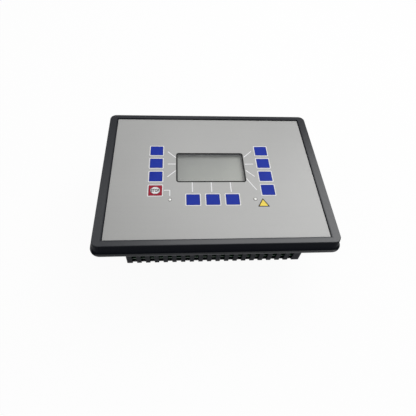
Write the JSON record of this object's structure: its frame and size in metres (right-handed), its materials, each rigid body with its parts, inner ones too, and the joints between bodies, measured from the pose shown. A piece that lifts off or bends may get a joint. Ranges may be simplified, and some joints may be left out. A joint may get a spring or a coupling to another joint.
{
  "type": "genset controller",
  "caption": "Panel-mount generator-set controller: black bezel, grey front with display, press keys and lamps, vented rear housing with plug-in terminals.",
  "frame": {"origin": "middle of the bounding box's base: the flat rear face that the unit lies on, face up", "axes": "+X along the front face to the right, +Y up the front face, +Z out of the front face"},
  "size_m": [0.282, 0.217, 0.099],
  "materials": {
    "black_housing": "fine moulded texture",
    "grey_foil": "matt printed foil with a silver grey ground",
    "clear_pane": "clear",
    "display_cell": "smooth, grey with a green cast",
    "blue_key": "matt print",
    "red_key": "matt print",
    "lamp_lens": "milky lens",
    "green_board": "solder mask",
    "black_parts": "matt",
    "bright_steel": "zinc plated",
    "brass_inserts": "turned",
    "green_terminals": "moulded",
    "grey_ribbon": "ribbed",
    "blue_sleeve": "shrunk sleeve",
    "black_rubber": "foam"
  },
  "bodies": {
    "unit": {"front_bezel": "black_housing", "rear_housing": "black_housing", "front_foil": "grey_foil", "display_window": "clear_pane", "status_lamps": "lamp_lens", "lamp_leds": "lamp_lens", "lcd_frame": "bright_steel", "lcd_cell": "display_cell", "lcd_board": "green_board", "lcd_spacers": "bright_steel", "keypad_board": "green_board", "key_switches": "black_parts", "keypad_screws": "bright_steel", "io_board": "green_board", "io_screws": "bright_steel", "processor_board": "green_board", "processor_chips": "black_parts", "backup_battery": "bright_steel", "board_pillars": "brass_inserts", "pillar_screws": "bright_steel", "stacking_connector": "black_parts", "ribbon_headers": "black_parts", "ribbon_cable": "grey_ribbon", "relays": "black_parts", "transformers": "black_parts", "capacitors": "blue_sleeve", "power_converter": "black_parts", "terminal_headers": "green_terminals", "terminal_plugs": "green_terminals", "port_shells": "bright_steel", "port_inserts": "black_parts", "nut_inserts": "brass_inserts", "panel_gasket": "black_rubber", "housing_screws": "bright_steel"},
    "key_left_1": {"key_left_1": "blue_key"},
    "key_left_2": {"key_left_2": "blue_key"},
    "key_left_3": {"key_left_3": "blue_key"},
    "key_stop": {"key_stop": "red_key"},
    "key_right_1": {"key_right_1": "blue_key"},
    "key_right_2": {"key_right_2": "blue_key"},
    "key_right_3": {"key_right_3": "blue_key"},
    "key_right_4": {"key_right_4": "blue_key"},
    "key_bottom_1": {"key_bottom_1": "blue_key"},
    "key_bottom_2": {"key_bottom_2": "blue_key"},
    "key_bottom_3": {"key_bottom_3": "blue_key"}
  },
  "joints": [
    {"name": "key_left_1_press", "type": "slide", "parent": "unit", "child": "key_left_1", "axis": [0, 0, -1], "range_m": [0, 0.0005], "stiffness_N_per_m": 5000},
    {"name": "key_left_2_press", "type": "slide", "parent": "unit", "child": "key_left_2", "axis": [0, 0, -1], "range_m": [0, 0.0005], "stiffness_N_per_m": 5000},
    {"name": "key_left_3_press", "type": "slide", "parent": "unit", "child": "key_left_3", "axis": [0, 0, -1], "range_m": [0, 0.0005], "stiffness_N_per_m": 5000},
    {"name": "key_stop_press", "type": "slide", "parent": "unit", "child": "key_stop", "axis": [0, 0, -1], "range_m": [0, 0.0005], "stiffness_N_per_m": 5000},
    {"name": "key_right_1_press", "type": "slide", "parent": "unit", "child": "key_right_1", "axis": [0, 0, -1], "range_m": [0, 0.0005], "stiffness_N_per_m": 5000},
    {"name": "key_right_2_press", "type": "slide", "parent": "unit", "child": "key_right_2", "axis": [0, 0, -1], "range_m": [0, 0.0005], "stiffness_N_per_m": 5000},
    {"name": "key_right_3_press", "type": "slide", "parent": "unit", "child": "key_right_3", "axis": [0, 0, -1], "range_m": [0, 0.0005], "stiffness_N_per_m": 5000},
    {"name": "key_right_4_press", "type": "slide", "parent": "unit", "child": "key_right_4", "axis": [0, 0, -1], "range_m": [0, 0.0005], "stiffness_N_per_m": 5000},
    {"name": "key_bottom_1_press", "type": "slide", "parent": "unit", "child": "key_bottom_1", "axis": [0, 0, -1], "range_m": [0, 0.0005], "stiffness_N_per_m": 5000},
    {"name": "key_bottom_2_press", "type": "slide", "parent": "unit", "child": "key_bottom_2", "axis": [0, 0, -1], "range_m": [0, 0.0005], "stiffness_N_per_m": 5000},
    {"name": "key_bottom_3_press", "type": "slide", "parent": "unit", "child": "key_bottom_3", "axis": [0, 0, -1], "range_m": [0, 0.0005], "stiffness_N_per_m": 5000}
  ]
}
